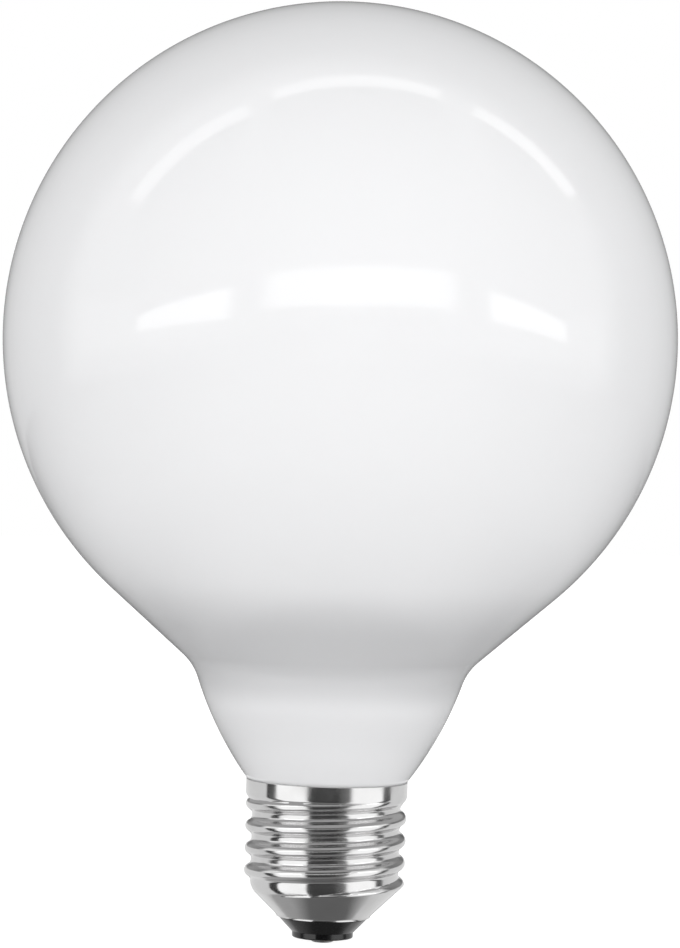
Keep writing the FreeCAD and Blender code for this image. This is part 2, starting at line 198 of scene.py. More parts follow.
def mesh_object(name: str, points: np.ndarray, faces: list[np.ndarray]) -> bpy.types.Object:
    """Smooth-shaded object at the origin from arrays in millimetres.

    Args:
        name: name of the object and of its mesh.
        points: vertices, in millimetres.
        faces: arrays of vertex numbers, one array for each number of sides.

    Returns:
        The object, linked to the scene.
    """
    mesh = bpy.data.meshes.new(name)
    mesh.from_pydata((points * MM).tolist(), [], [f for block in faces for f in block.tolist()])
    mesh.polygons.foreach_set("use_smooth", np.ones(len(mesh.polygons), dtype=bool))
    mesh.update()
    obj = bpy.data.objects.new(name, mesh)
    bpy.context.scene.collection.objects.link(obj)
    return obj


def grid_faces(rows: int, columns: int, wrap_rows: bool, wrap_columns: bool) -> np.ndarray:
    """Quads of a grid of vertices numbered row by row.

    Args:
        rows: vertices along the first parameter.
        columns: vertices along the second parameter.
        wrap_rows: whether the last row joins the first.
        wrap_columns: whether the last column joins the first.

    Returns:
        Array of four vertex numbers a face.
    """
    i, j = np.meshgrid(
        np.arange(rows if wrap_rows else rows - 1),
        np.arange(columns if wrap_columns else columns - 1),
        indexing="ij",
    )
    below, beside = (i + 1) % rows, (j + 1) % columns
    quads = (i * columns + j, i * columns + beside, below * columns + beside, below * columns + j)
    return np.stack(quads, axis=-1).reshape(-1, 4)


def turned(name: str, line: np.ndarray, sides: int) -> bpy.types.Object:
    """Closed turned piece: every point of a section carried round the axis at its own radius.

    A section that starts and ends on the axis is closed by a pole at each end, and any other
    section is a loop, so that its last ring joins its first.

    Args:
        name: name of the object.
        line: section points, as radius and height.
        sides: vertices in a ring.

    Returns:
        The object.
    """
    poles = line[0, 0] == 0.0 and line[-1, 0] == 0.0
    rings = line[1:-1] if poles else line
    angle = np.linspace(0.0, 2 * np.pi, sides, endpoint=False)
    height = np.broadcast_to(rings[:, 1:], (len(rings), sides))
    across = np.outer(rings[:, 0], np.cos(angle))
    deep = np.outer(rings[:, 0], np.sin(angle))
    points = np.stack((across, deep, height), axis=-1).reshape(-1, 3)
    faces = [grid_faces(len(rings), sides, not poles, True)]
    if poles:
        ring = np.arange(sides)
        after = (ring + 1) % sides
        last = (len(rings) - 1) * sides
        low, high = len(points), len(points) + 1
        points = np.vstack((points, (0.0, 0.0, line[0, 1]), (0.0, 0.0, line[-1, 1])))
        faces.append(np.column_stack((after, ring, np.full(sides, low))))
        faces.append(np.column_stack((last + ring, last + after, np.full(sides, high))))
    return mesh_object(name, points, outward(points, faces))


class Nodes:
    """Node tree of one material, with short calls for the nodes that the finishes share."""

    def __init__(self, name: str) -> None:
        """Start a material with a Principled shader on its output.

        Args:
            name: name of the material.
        """
        self.material = bpy.data.materials.new(name)
        self.material.use_nodes = True
        self.tree = self.material.node_tree
        self.shader = self.tree.nodes["Principled BSDF"]
        self.place = self.tree.nodes.new("ShaderNodeTexCoord").outputs["Object"]

    def link(self, source: bpy.types.NodeSocket, target: bpy.types.NodeSocket) -> None:
        """Join two sockets."""
        self.tree.links.new(source, target)

    def mapped(self, scale: Point) -> bpy.types.NodeSocket:
        """Object coordinates stretched by a scale along each axis.

        Args:
            scale: stretch along each axis.

        Returns:
            Socket with the stretched coordinates.
        """
        node = self.tree.nodes.new("ShaderNodeMapping")
        node.inputs["Scale"].default_value = scale
        self.link(self.place, node.inputs["Vector"])
        return node.outputs["Vector"]

    def noise(self, place: bpy.types.NodeSocket, scale: float, detail: float) -> bpy.types.NodeSocket:
        """Smooth random pattern between 0 and 1.

        Args:
            place: socket with the coordinates.
            scale: how fine the pattern is.
            detail: how many finer patterns are added to it.

        Returns:
            Socket with the pattern.
        """
        node = self.tree.nodes.new("ShaderNodeTexNoise")
        node.inputs["Scale"].default_value = scale
        node.inputs["Detail"].default_value = detail
        self.link(place, node.inputs["Vector"])
        return node.outputs["Fac"]

    def height(self) -> bpy.types.NodeSocket:
        """Height above the tip, in metres.

        Returns:
            Socket with the height.
        """
        node = self.tree.nodes.new("ShaderNodeSeparateXYZ")
        self.link(self.place, node.inputs["Vector"])
        return node.outputs["Z"]

    def span(self, value: bpy.types.NodeSocket, source: Span, target: Span) -> bpy.types.NodeSocket:
        """Value carried from one range to another on a smooth step.

        Args:
            value: socket with the value.
            source: range that it is read in.
            target: range that it is carried to.

        Returns:
            Socket with the carried value.
        """
        node = self.tree.nodes.new("ShaderNodeMapRange")
        node.interpolation_type = "SMOOTHSTEP"
        node.inputs["From Min"].default_value = source[0]
        node.inputs["From Max"].default_value = source[1]
        node.inputs["To Min"].default_value = target[0]
        node.inputs["To Max"].default_value = target[1]
        self.link(value, node.inputs["Value"])
        return node.outputs["Result"]

    def product(self, first: bpy.types.NodeSocket, second: bpy.types.NodeSocket) -> bpy.types.NodeSocket:
        """One value times another.

        Args:
            first: socket with the one value.
            second: socket with the other.

        Returns:
            Socket with the product.
        """
        node = self.tree.nodes.new("ShaderNodeMath")
        node.operation = "MULTIPLY"
        self.link(first, node.inputs[0])
        self.link(second, node.inputs[1])
        return node.outputs["Value"]

    def colour(self, factor: bpy.types.NodeSocket, first: Rgb, second: Rgb) -> None:
        """Give the shader a colour between two by a factor.

        Args:
            factor: socket with the factor.
            first: colour at 0.
            second: colour at 1.
        """
        node = self.tree.nodes.new("ShaderNodeMix")
        node.data_type = "RGBA"
        for socket in node.inputs:
            if socket.identifier == "A_Color":
                socket.default_value = (*first, 1.0)
            if socket.identifier == "B_Color":
                socket.default_value = (*second, 1.0)
        self.link(factor, node.inputs["Factor"])
        result = next(s for s in node.outputs if s.identifier == "Result_Color")
        self.link(result, self.shader.inputs["Base Color"])

    def gloss(self, pattern: bpy.types.NodeSocket, roughness: Span) -> None:
        """Give the shader a roughness that follows a pattern between two values."""
        self.link(self.span(pattern, NOISE_RANGE, roughness), self.shader.inputs["Roughness"])

    def bump(self, relief: bpy.types.NodeSocket, depth: float, strength: float) -> None:
        """Give the shader a relief of a depth in millimetres.

        Args:
            relief: socket with the pattern.
            depth: how high the pattern stands, in millimetres.
            strength: share of it that shows.
        """
        node = self.tree.nodes.new("ShaderNodeBump")
        node.inputs["Strength"].default_value = strength
        node.inputs["Distance"].default_value = depth * MM
        self.link(relief, node.inputs["Height"])
        self.link(node.outputs["Normal"], self.shader.inputs["Normal"])


@dataclass(frozen=True)
class OpalGlass:
    """White opal coating inside clear glass, with painted shade that greys it round the throat."""

    slot: str = "opal_glass"
    body: Rgb = (0.862, 0.864, 0.874)
    # Painted shade: grey of the throat band, standing in for the shade where the glass turns down
    throat: Rgb = (0.68, 0.682, 0.692)
    painted_shade_foot: Span = (38.3 * MM, 43.2 * MM)
    painted_shade_head: Span = (50.5 * MM, 60.0 * MM)
    roughness: float = 0.07
    ior: float = 1.5
    wave_scale: float = 26.0
    wave_detail: float = 1.0
    wave_depth: float = 0.05
    wave_strength: float = 0.35

    def material(self) -> bpy.types.Material:
        """Principled glass white with a painted shade band round the throat, and a faint unevenness.

        Returns:
            The material.
        """
        nodes = Nodes(self.slot)
        height = nodes.height()
        # Painted shade: a grey band round the throat, rising at its foot and falling at its head
        foot = nodes.span(height, self.painted_shade_foot, RISE)
        head = nodes.span(height, self.painted_shade_head, FALL)
        tone = nodes.product(foot, head)
        nodes.colour(tone, self.body, self.throat)
        nodes.shader.inputs["Roughness"].default_value = self.roughness
        nodes.shader.inputs["IOR"].default_value = self.ior
        wave = nodes.noise(nodes.place, self.wave_scale, self.wave_detail)
        nodes.bump(wave, self.wave_depth, self.wave_strength)
        return nodes.material


@dataclass(frozen=True)
class NickelPlate:
    """Bright nickel on rolled sheet: fine lines round the cap and a soft unevenness."""

    slot: str = "nickel_plate"
    bright: Rgb = (0.70, 0.70, 0.705)
    dull: Rgb = (0.60, 0.595, 0.59)
    roughness: Span = (0.12, 0.21)
    cloud_scale: float = 240.0
    cloud_detail: float = 3.0
    line_stretch: Point = (60.0, 60.0, 2600.0)
    line_detail: float = 2.0
    line_depth: float = 0.01
    line_strength: float = 0.25

    def material(self) -> bpy.types.Material:
        """Metal whose colour and roughness wander, under lines drawn out along the thread.

        Returns:
            The material.
        """
        nodes = Nodes(self.slot)
        cloud = nodes.noise(nodes.place, self.cloud_scale, self.cloud_detail)
        lines = nodes.noise(nodes.mapped(self.line_stretch), 1.0, self.line_detail)
        nodes.colour(cloud, self.bright, self.dull)
        nodes.gloss(cloud, self.roughness)
        nodes.shader.inputs["Metallic"].default_value = 1.0
        nodes.bump(lines, self.line_depth, self.line_strength)
        return nodes.material


@dataclass(frozen=True)
class BlackGlass:
    """Pressed black glass with the faint ripple of its mould."""

    slot: str = "black_glass"
    colour: Rgb = (0.002, 0.002, 0.0022)
    worn: Rgb = (0.006, 0.006, 0.0065)
    roughness: Span = (0.10, 0.24)
    ior: float = 1.55
    ripple_scale: float = 420.0
    ripple_detail: float = 2.0
    ripple_depth: float = 0.05
    ripple_strength: float = 0.4

    def material(self) -> bpy.types.Material:
        """Near-black glass with a rippled surface and uneven gloss.

        Returns:
            The material.
        """
        nodes = Nodes(self.slot)
        ripple = nodes.noise(nodes.place, self.ripple_scale, self.ripple_detail)
        nodes.colour(ripple, self.colour, self.worn)
        nodes.gloss(ripple, self.roughness)
        nodes.shader.inputs["IOR"].default_value = self.ior
        nodes.bump(ripple, self.ripple_depth, self.ripple_strength)
        return nodes.material


@dataclass(frozen=True)
class TinnedBrass:
    """Pressed brass under a thin tin coat that shows a warm tone where it is rubbed."""

    slot: str = "tinned_brass"
    tin: Rgb = (0.66, 0.65, 0.62)
    rubbed: Rgb = (0.66, 0.56, 0.36)
    roughness: Span = (0.18, 0.34)
    rub_scale: float = 700.0
    rub_detail: float = 4.0
    rub_range: Span = (0.52, 0.74)
    rub_depth: float = 0.02
    rub_strength: float = 0.3

    def material(self) -> bpy.types.Material:
        """Metal between tin and brass by a soft pattern.

        Returns:
            The material.
        """
        nodes = Nodes(self.slot)
        rub = nodes.noise(nodes.place, self.rub_scale, self.rub_detail)
        wear = nodes.span(rub, self.rub_range, RISE)
        nodes.colour(wear, self.tin, self.rubbed)
        nodes.gloss(rub, self.roughness)
        nodes.shader.inputs["Metallic"].default_value = 1.0
        nodes.bump(rub, self.rub_depth, self.rub_strength)
        return nodes.material


@dataclass(frozen=True)
class SoftSolder:
    """Dull grey solder with the grain that it sets with, its greys set low as painted shade on the tip."""

    slot: str = "solder"
    # Painted shade: both greys are darker than the solder itself, for the shade that the tip sits in
    pale: Rgb = (0.33, 0.33, 0.335)
    dark: Rgb = (0.18, 0.18, 0.185)
    roughness: Span = (0.30, 0.48)
    grain_scale: float = 1400.0
    grain_detail: float = 4.0
    grain_depth: float = 0.04
    grain_strength: float = 0.5

    def material(self) -> bpy.types.Material:
        """Grained metal, rough and grey.

        Returns:
            The material.
        """
        nodes = Nodes(self.slot)
        grain = nodes.noise(nodes.place, self.grain_scale, self.grain_detail)
        nodes.colour(grain, self.pale, self.dark)
        nodes.gloss(grain, self.roughness)
        nodes.shader.inputs["Metallic"].default_value = 1.0
        nodes.bump(grain, self.grain_depth, self.grain_strength)
        return nodes.material


class Finish(Protocol):
    """What every finish has: the record's slot that it stands for, and its material."""

    slot: str

    def material(self) -> bpy.types.Material:
        """Make the material."""


class Piece:
    """What every piece of the bulb shares: it stands for one CAD node and rides on the bulb."""

    node: str
    finish: Finish

    def build(self) -> bpy.types.Object:
        """Make the mesh; each piece has its own form."""
        raise NotImplementedError

    def dress(self) -> None:
        """Build the piece, give it its finish and put it in its node's place."""
        obj = self.build()
        obj.data.materials.append(self.finish.material())
        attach(obj, BODY)
        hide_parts(self.node)
        LOG.info("%s: %d faces, finish %s", obj.name, len(obj.data.polygons), self.finish.slot)


class TurnedPiece(Piece):
    """Small piece turned from a section with rounded corners, sharp along its hard edges."""

    closed: bool
    longest_step: float
    sides: int
    sharp_angle: float

    def corners(self) -> list[Corner]:
        """Corners of the section in order; each piece has its own."""
        raise NotImplementedError

    def build(self) -> bpy.types.Object:
        """Piece turned from the line through its corners.

        Returns:
            The object.
        """
        line = spread(rounded(self.corners(), self.closed), self.longest_step)
        obj = turned(f"{self.node}_piece", line, self.sides)
        obj.data.set_sharp_from_angle(angle=math.radians(self.sharp_angle))
        return obj


@dataclass
class Globe(Piece):
    """Blown globe, throat and neck, with the stub inside the cap."""

    finish: OpalGlass
    node: str = "opal_globe"
    throat_radius: float = 24.2
    throat_angle: float = 48.8
    throat_hollow: float = 8.9
    neck_bow: float = 58.5
    rim_radius: float = 13.1
    rim_height: float = 26.5
    stub_radius: float = 11.445
    stub_rounding: float = 3.5
    sides: int = 288
    bow_points: int = 30
    hollow_points: int = 24
    stretch_points: int = 14
    ball_points: int = 130

    def section(self) -> np.ndarray:
        """Section from the seal of the stub to the crown.

        The ball's arc runs down to where it leaves along a straight stretch, a hollow arc turns
        that into the neck, and the neck's bow is the circle through the rim that touches the hollow.

        Returns:
            Points, as radius and height.
        """
        low, high = (np.array(corner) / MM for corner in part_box(self.node))
        ball = float(high[0])
        middle = np.array((0.0, high[2] - ball))
        tilt = math.radians(self.throat_angle)
        along = np.array((math.sin(tilt), math.cos(tilt)))
        out = np.array((math.cos(tilt), -math.sin(tilt)))
        leaving = middle + out * ball
        throat = leaving - along * (leaving[0] - self.throat_radius) / along[0]
        hollow = throat + out * self.throat_hollow
        rim = np.array((self.rim_radius, self.rim_height))
        gap = hollow - rim
        length = float(np.linalg.norm(gap))
        joined = self.neck_bow + self.throat_hollow
        run = (self.neck_bow**2 - joined**2 + length**2) / (2 * length)
        rise = math.sqrt(self.neck_bow**2 - run**2)
        bow = rim + gap / length * run + np.array((-gap[1], gap[0])) / length * rise
        joint = bow + unit(hollow - bow) * self.neck_bow
        crown = np.array((0.0, high[2]))
        stub = rounded(
            [
                Corner(0.0, low[2]),
                Corner(self.stub_radius, low[2], self.stub_rounding),
                Corner(self.stub_radius, self.rim_height),
            ],
            closed=False,
        )
        return np.concatenate(
            (
                stub,
                arc_points(bow, rim, joint, self.bow_points),
                arc_points(hollow, joint, throat, self.hollow_points)[1:],
                np.linspace(throat, leaving, self.stretch_points)[1:-1],
                arc_points(middle, leaving, crown, self.ball_points)[:-1],
                crown[None, :],
            )
        )

    def build(self) -> bpy.types.Object:
        """Globe turned from its section."""
        return turned("opal_globe_piece", self.section(), self.sides)


@dataclass
class ScrewShell(Piece):
    """Rolled screw cap: collar, round thread, bottom cone and lip in one sheet."""

    finish: NickelPlate
    node: str = "screw_shell"
    sheet: float = 0.3
    collar_radius: float = 13.2
    collar_height: float = 2.5
    collar_step: float = 1.7
    collar_rounding: float = 0.8
    rim_rounding: float = 0.12
    crest_radius: float = 13.15
    thread_depth: float = 1.095
    pitch: float = 3.629
    first_crest: float = 9.65
    last_crest_over_collar_foot: float = 0.3
    fade_turns: float = 0.28
    fade_depth: float = 1.215
    wall_radius: float = 12.095
    shoulder_height: float = 8.7
    shoulder_rounding: float = 2.6
    lip_radius: float = 7.7
    lip_height: float = 0.25
    lip_rounding: float = 0.5
    sides: int = 320
    row_step: float = 0.15
    row_digits: int = 4
    inside_stride: int = 4
    steepest: float = 2.0
    sharp_angle: float = 50.0

    def wall(self) -> np.ndarray:
        """Section of the cap without its thread, from the lip's foot to the rim.

        Returns:
            Points, as radius and height.
        """
        low, high = (float(corner[2]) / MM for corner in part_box(self.node))
        collar_foot = high - self.collar_height
        return rounded(
            [
                Corner(self.lip_radius, low),
                Corner(self.lip_radius, low + self.lip_height, self.lip_rounding),
                Corner(self.wall_radius, self.shoulder_height, self.shoulder_rounding),
                Corner(self.wall_radius, collar_foot - self.collar_step, self.collar_rounding),
                Corner(self.collar_radius, collar_foot, self.collar_rounding),
                Corner(self.collar_radius, high, self.rim_rounding),
                Corner(self.collar_radius - self.sheet, high),
            ],
            closed=False,
        )

    def thread(self, angle: np.ndarray, height: np.ndarray) -> np.ndarray:
        """Radius of the thread at each angle and height.

        Crest and root are arcs of one radius that meet halfway down the flank. Along the helix the
        crest climbs one pitch a turn, and past either end the whole form sinks into the wall.

        Args:
            angle: angle round the axis, from +X towards +Y.
            height: height above the tip.

        Returns:
            Array of radii.
        """
        arc = (self.pitch**2 / 4 + self.thread_depth**2) / (4 * self.thread_depth)
        top = float(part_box(self.node)[1][2]) / MM
        last_crest = top - self.collar_height + self.last_crest_over_collar_foot
        turns = (last_crest - self.first_crest) / self.pitch
        part = angle / (2 * np.pi)
        level = (height - self.first_crest) / self.pitch
        turn = part + np.round(level - part)
        offset = np.abs(level - turn) * self.pitch
        crest = self.crest_radius - arc + np.sqrt(np.maximum(arc**2 - offset**2, 0.0))
        hollow = self.pitch / 2 - offset
        root = self.crest_radius - self.thread_depth + arc - np.sqrt(np.maximum(arc**2 - hollow**2, 0.0))
        form = np.where(offset < self.pitch / 4, crest, root)
        past = np.maximum(np.maximum(-turn, turn - turns), 0.0)
        return form - self.fade_depth * past / self.fade_turns

    def build(self) -> bpy.types.Object:
        """Sheet whose outside is the wall or the thread, whichever stands out, and its inside.

        Below the shoulder the thread is cut back to the line of the bottom cone. The inside is the
        outside moved in by the sheet's thickness square to its slope.

        Returns:
            The object.
        """
        wall = self.wall()
        low, high = wall[0, 1], wall[-2, 1]
        plain = np.linspace(low, high, round((high - low) / self.row_step))
        rows = np.unique(np.concatenate((plain, wall[:-1, 1])).round(self.row_digits))
        angle = np.linspace(0.0, 2 * np.pi, self.sides, endpoint=False)
        turn_grid, row_grid = np.meshgrid(angle, rows)
        base = np.interp(row_grid, wall[:-1, 1], wall[:-1, 0])
        foot = low + self.lip_height
        slope = (self.wall_radius - self.lip_radius) / (self.shoulder_height - foot)
        cone = self.lip_radius + slope * (row_grid - foot)
        out = np.maximum(base, np.minimum(self.thread(turn_grid, row_grid), cone))
        steep = np.gradient(out, rows, axis=0)
        inside = out - self.sheet * np.sqrt(1 + np.minimum(steep**2, self.steepest**2))
        few = np.unique(np.append(np.arange(0, len(rows), self.inside_stride), len(rows) - 1))[::-1]
        radius = np.concatenate((out, inside[few]))
        height = np.concatenate((row_grid, row_grid[few]))
        spin = np.concatenate((turn_grid, turn_grid[few]))
        points = np.stack((radius * np.cos(spin), radius * np.sin(spin), height), axis=-1).reshape(-1, 3)
        faces = [grid_faces(len(radius), self.sides, True, True)]
        obj = mesh_object("screw_shell_piece", points, outward(points, faces))
        obj.data.set_sharp_from_angle(angle=math.radians(self.sharp_angle))
        return obj


@dataclass
class Insulator(TurnedPiece):
    """Black glass moulded into the foot of the cap: flange, outer cone and boss."""

    finish: BlackGlass
    node: str = "insulator"
    bore: float = 1.46
    seat_radius: float = 4.26
    seat_depth: float = 0.3
    boss_radius: float = 5.0
    boss_height: float = 1.8
    cone_foot: float = 5.15
    cone_top: float = 7.45
    cone_top_height: float = 4.2
    throat_radius: float = 7.35
    throat_height: float = 4.6
    edge: float = 0.3
    bead: float = 0.12
    sides: int = 160
    closed: bool = True
    longest_step: float = 0.4
    sharp_angle: float = 40.0

    def corners(self) -> list[Corner]:
        """Corners of the insulator, from the foot of its bore round to the top, with moulded edges.

        Returns:
            The corners in order.
        """
        low, high = (np.array(corner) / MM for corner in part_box(self.node))
        return [
            Corner(self.bore, low[2] + self.seat_depth),
            Corner(self.seat_radius, low[2] + self.seat_depth),
            Corner(self.seat_radius, low[2], self.bead),
            Corner(self.boss_radius, low[2], self.edge),
            Corner(self.boss_radius, self.boss_height, self.bead / 2),
            Corner(self.cone_foot, self.boss_height, self.bead / 2),
            Corner(self.cone_top, self.cone_top_height, self.bead),
            Corner(self.throat_radius, self.cone_top_height),
            Corner(self.throat_radius, self.throat_height),
            Corner(float(high[0]), high[2]),
            Corner(self.bore, high[2]),
        ]


@dataclass
class CentreContact(TurnedPiece):
    """Pressed contact plate and the tube that holds it in the black glass."""

    finish: TinnedBrass
    node: str = "centre_contact"
    bore: float = 1.0
    tube_radius: float = 1.4
    seat_height: float = 1.05
    plate_radius: float = 4.2
    plate_edge: float = 0.42
    edge_rounding: float = 0.2
    crown_radius: float = 2.8
    crown_rounding: float = 3.0
    sides: int = 128
    closed: bool = True
    longest_step: float = 0.3
    sharp_angle: float = 40.0

    def corners(self) -> list[Corner]:
        """Corners of the contact, from the foot of its bore round to the top.

        Returns:
            The corners in order.
        """
        low, high = (np.array(corner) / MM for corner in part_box(self.node))
        return [
            Corner(self.bore, low[2]),
            Corner(self.crown_radius, low[2], self.crown_rounding),
            Corner(self.plate_radius, self.seat_height - self.plate_edge, self.edge_rounding),
            Corner(self.plate_radius, self.seat_height),
            Corner(self.tube_radius, self.seat_height),
            Corner(self.tube_radius, high[2]),
            Corner(self.bore, high[2]),
        ]


@dataclass
class ContactSolder(TurnedPiece):
    """Flattened drop of solder at the tip, with its stem up the tube."""

    finish: SoftSolder
    node: str = "contact_solder"
    drop_height: float = 0.5
    drop_rounding: float = 0.4
    stem_radius: float = 0.98
    sides: int = 96
    closed: bool = False
    longest_step: float = 0.15
    sharp_angle: float = 40.0

    def corners(self) -> list[Corner]:
        """Corners of the solder, from the tip to the top of its stem.

        Returns:
            The corners in order.
        """
        low, high = (np.array(corner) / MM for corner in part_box(self.node))
        drop = float(high[0])
        return [
            Corner(0.0, low[2]),
            Corner(drop, low[2], self.drop_rounding),
            Corner(drop, self.drop_height),
            Corner(self.stem_radius, self.drop_height),
            Corner(self.stem_radius, high[2]),
            Corner(0.0, high[2]),
        ]


class StageTree:
    """Node tree of a stage material or of the world, with short calls to fill it."""

    def __init__(self, owner: bpy.types.Material | bpy.types.World) -> None:
        """Start with nothing in the tree.

        Args:
            owner: the material or world.
        """
        owner.use_nodes = True
        self.tree = owner.node_tree
        self.tree.nodes.clear()

    def add(self, kind: str, **inputs: object) -> bpy.types.Node:
        """Add a node.

        Args:
            kind: type of the node.
            inputs: values of its inputs by name.

        Returns:
            The node.
        """
        node = self.tree.nodes.new(kind)
        for name, value in inputs.items():
            node.inputs[name].default_value = value
        return node

    def join(self, *pairs: tuple[bpy.types.NodeSocket, bpy.types.NodeSocket]) -> None:
        """Join the sockets of each pair."""
        for source, target in pairs:
            self.tree.links.new(source, target)


@dataclass(frozen=True)
class SoftBox:
    """One soft box of the key bank, by its edges as shares of the bank's distance."""

    name: str
    front_strength: float
    front: tuple[Point, Point]
    front_rise: Span
    rear: tuple[Point, Point]
    rear_depth: Span


KEY_BANK = (
    SoftBox(
        "middle",
        front_strength=2.8,
        front=((-0.52, -1.03, 0.122), (0.86, -1.07, 0.184)),
        front_rise=(0.24, 0.305),
        rear=((-0.62, -0.14, 2.0), (0.74, 0.07, 2.0)),
        rear_depth=(0.19, 0.19),
    ),
    SoftBox(
        "left",
        front_strength=3.5,
        front=((-0.65, -1.01, 0.068), (-1.755, -0.645, -0.014)),
        front_rise=(0.225, 0.145),
        rear=((-0.86, -0.26, 2.0), (-3.15, -0.34, 2.0)),
        rear_depth=(0.22, 0.42),
    ),
    SoftBox(
        "right",
        front_strength=3.4,
        front=((1.09, -1.03, 0.132), (2.166, -0.388, 0.008)),
        front_rise=(0.267, 0.19),
        rear=((1.08, 0.1, 2.0), (2.21, 0.34, 1.5)),
        rear_depth=(0.21, 0.29),
    ),
)


@dataclass
class Studio:
    """Floor, soft boxes, cards, world and camera."""

    globe_height: float = 98.41
    bank_distance: float = 520.0
    bank_strength: float = 1.08
    bank_high_strength: float = 0.58
    bank_front_fade: float = 0.09
    bank_rear_strength: float = 2.25
    fill_distance: float = 1200.0
    fill_low: float = 2.0
    fill_high: float = 260.0
    back_fill_strength: float = 0.95
    back_fill_distance: float = 1600.0
    back_fill_high: float = 1500.0
    floor_paper: float = 0.82
    floor_shade: float = 0.3
    floor_fill: float = 0.04
    floor_white: float = 0.93
    world_fill: float = 0.57
    card_radius: float = 150.0
    card_low: float = -120.0
    skirt_low: float = -420.0
    card_high: float = 26.4
    dark_card: float = 0.06
    under_height: float = -40.0
    table_height: float = 27.0
    collar_height: float = 26.6
    collar_glow: float = 0.45
    brow_glow: float = 0.12
    shade_distance: float = 1500.0
    shade_left: float = 0.3
    floor_half: float = 3000.0
    camera_distance: float = 550.0
    camera_rise: float = -21.84
    camera_side: float = 0.61
    camera_roll: float = 1.73
    camera_near: float = 10.0
    focal_pixels: float = 3360.0
    sensor: float = 36.0
    bank_grid: int = 49
    fill_columns: int = 51
    back_fill_columns: int = 31
    card_step: float = 0.5
    ring_columns: int = 97
    brow_columns: int = 17
    table_rows: int = 81
    shade_rows: int = 81

    # Glow of the front fill by azimuth in degrees, positive to the camera's right
    FILL_GLOW = (
        (-97.0, 1.3), (-60.0, 1.45), (-25.0, 0.95), (0.0, 0.82), (25.0, 0.95), (60.0, 1.42), (97.0, 1.28),
    )
    # Azimuths that the back fill runs between, round the back
    BACK_FILL = (105.0, 255.0)
    # Glow of the cards round the cap by azimuth in degrees
    CAP_GLOW = (
        (-168.0, 0.85), (-92.0, 0.85), (-90.0, 0.05), (-75.0, 0.05), (-72.5, 1.4), (-27.5, 1.4),
        (-24.5, 0.06), (18.0, 0.06), (20.0, 0.14), (32.5, 0.14), (35.5, 1.4), (82.5, 1.4),
        (87.0, 0.1), (99.0, 0.1), (101.0, 0.85), (168.0, 0.85),
    )
    # Glow of the skirt below those cards, which shows in the bottom cone
    SKIRT_GLOW = ((-168.0, 0.45), (-50.0, 0.45), (-25.0, 0.25), (35.0, 0.25), (60.0, 0.75), (168.0, 0.8))
    # Front and back of the card under the cap, and its glow from left to right
    UNDER_CARD = (-30.0, 22.0)
    UNDER_GLOW = ((-24.0, 0.45), (-11.0, 0.16), (20.0, 0.16), (36.0, 0.75))
    # Inner and outer radius of the flat dark card round the collar
    COLLAR_CARD = (13.6, 26.0)
    # Azimuths and radii of the dark card in front of it, which keeps the thread's middle column dark
    BROW_SIDES = (-25.0, 31.0)
    BROW_CARD = (26.0, 70.0)
    # Glow of the table under the globe by radius
    TABLE_GLOW = (
        (13.6, 0.9), (19.0, 0.8), (22.0, 0.1), (29.0, 0.1), (33.0, 0.9),
        (45.0, 1.2), (60.0, 1.3), (100.0, 1.4), (160.0, 1.3), (400.0, 0.9),
    )
    # Share of it by azimuth in degrees, near the throat and far out
    TABLE_NEAR = (
        (-180.0, 0.25), (-150.0, 0.2), (-102.0, 0.08), (-72.0, 0.32), (-35.0, 1.0),
        (35.0, 1.0), (72.0, 0.28), (102.0, 0.05), (150.0, 0.25), (180.0, 0.25),
    )
    TABLE_FAR = (
        (-180.0, 0.1), (-150.0, 0.07), (-110.0, 0.27), (-80.0, 0.6), (-35.0, 1.0),
        (35.0, 1.0), (80.0, 0.6), (110.0, 0.28), (150.0, 0.1), (180.0, 0.1),
    )
    # Radii where the one turns into the other
    TABLE_CHANGE = (50.0, 90.0)
    # Glow of the shade behind by its angle in degrees from straight behind the globe
    SHADE_GLOW = ((5.0, 0.1), (14.0, 0.13), (30.0, 0.3), (50.0, 0.28), (72.0, 0.2), (85.0, 0.9))

    def glow(self, name: str, back: Back) -> bpy.types.Material:
        """Emission that follows the surface's own glow values.

        Args:
            name: name of the material.
            back: what its back is.

        Returns:
            The material.
        """
        material = bpy.data.materials.new(name)
        tree = StageTree(material)
        level = tree.add("ShaderNodeAttribute")
        level.attribute_name = "glow"
        light = tree.add("ShaderNodeEmission")
        out = tree.add("ShaderNodeOutputMaterial")
        tree.join((level.outputs["Fac"], light.inputs["Strength"]))
        if back is Back.SAME:
            tree.join((light.outputs["Emission"], out.inputs["Surface"]))
            return material
        if back is Back.DARK:
            behind = tree.add("ShaderNodeEmission", Strength=self.dark_card)
        else:
            behind = tree.add("ShaderNodeBsdfTransparent")
        side = tree.add("ShaderNodeNewGeometry")
        pick = tree.add("ShaderNodeMixShader")
        tree.join(
            (side.outputs["Backfacing"], pick.inputs["Fac"]),
            (light.outputs["Emission"], pick.inputs[1]),
            (behind.outputs[0], pick.inputs[2]),
            (pick.outputs["Shader"], out.inputs["Surface"]),
        )
        return material

    def show(self, obj: bpy.types.Object, seen: Seen) -> None:
        """Set which rays meet a stage object.

        Args:
            obj: the stage object.
            seen: which rays meet it.
        """
        obj.visible_camera = seen is Seen.FLOOR
        obj.visible_diffuse = seen is not Seen.CARD
        obj.visible_glossy = seen is not Seen.FLOOR
        obj.visible_transmission = seen is Seen.FLOOR
        obj.visible_shadow = seen is Seen.FLOOR

